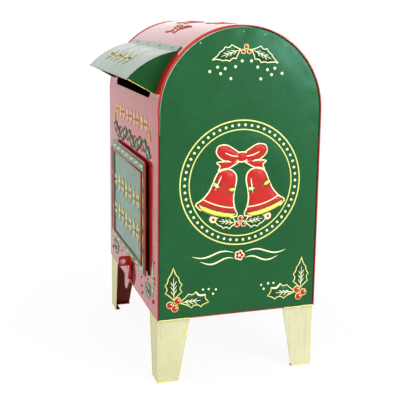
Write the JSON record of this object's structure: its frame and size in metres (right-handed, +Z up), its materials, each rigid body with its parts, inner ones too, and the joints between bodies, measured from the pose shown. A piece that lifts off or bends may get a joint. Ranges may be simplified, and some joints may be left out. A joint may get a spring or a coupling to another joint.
{
  "type": "tin money box",
  "caption": "Tin money box shaped as a street letter box, with an arched roof, a hooded slot, a hinged door and sheet-metal legs.",
  "frame": {"origin": "centre of the whole box's footprint, on the surface that the feet stand on", "axes": "+Z up, -Y out of the door wall, +X to the right of someone who faces the door"},
  "size_m": [0.138, 0.116, 0.2106],
  "materials": {
    "green_enamel": "gloss enamel on tin sheet",
    "red_enamel": "gloss enamel on tin sheet",
    "cream_enamel": "gloss enamel on tin sheet",
    "bare_tin": "tinned steel, satin"
  },
  "bodies": {
    "case": {"body_shell": "red_enamel", "right_side_panel": "green_enamel", "left_side_panel": "green_enamel", "floor_pan": "red_enamel", "front_right_leg": "cream_enamel", "front_left_leg": "cream_enamel", "back_right_leg": "cream_enamel", "back_left_leg": "cream_enamel", "hood_top": "green_enamel", "hood_right_cheek": "green_enamel", "hood_left_cheek": "green_enamel", "hood_rivets": "bare_tin", "lock_tab": "red_enamel", "lock_eyelet": "bare_tin", "wall_hinge_leaf": "bare_tin", "wall_hinge_rivets": "bare_tin", "hinge_pin": "bare_tin"},
    "door": {"door_panel": "green_enamel", "door_hinge_leaf": "bare_tin", "door_hinge_rivets": "bare_tin", "door_catch": "bare_tin"}
  },
  "joints": [
    {"name": "door_hinge", "type": "hinge", "parent": "case", "child": "door", "pos_m": [-0.04925, -0.0439, 0.09], "axis": [0, 0, -1], "range_deg": [0, 110]}
  ]
}
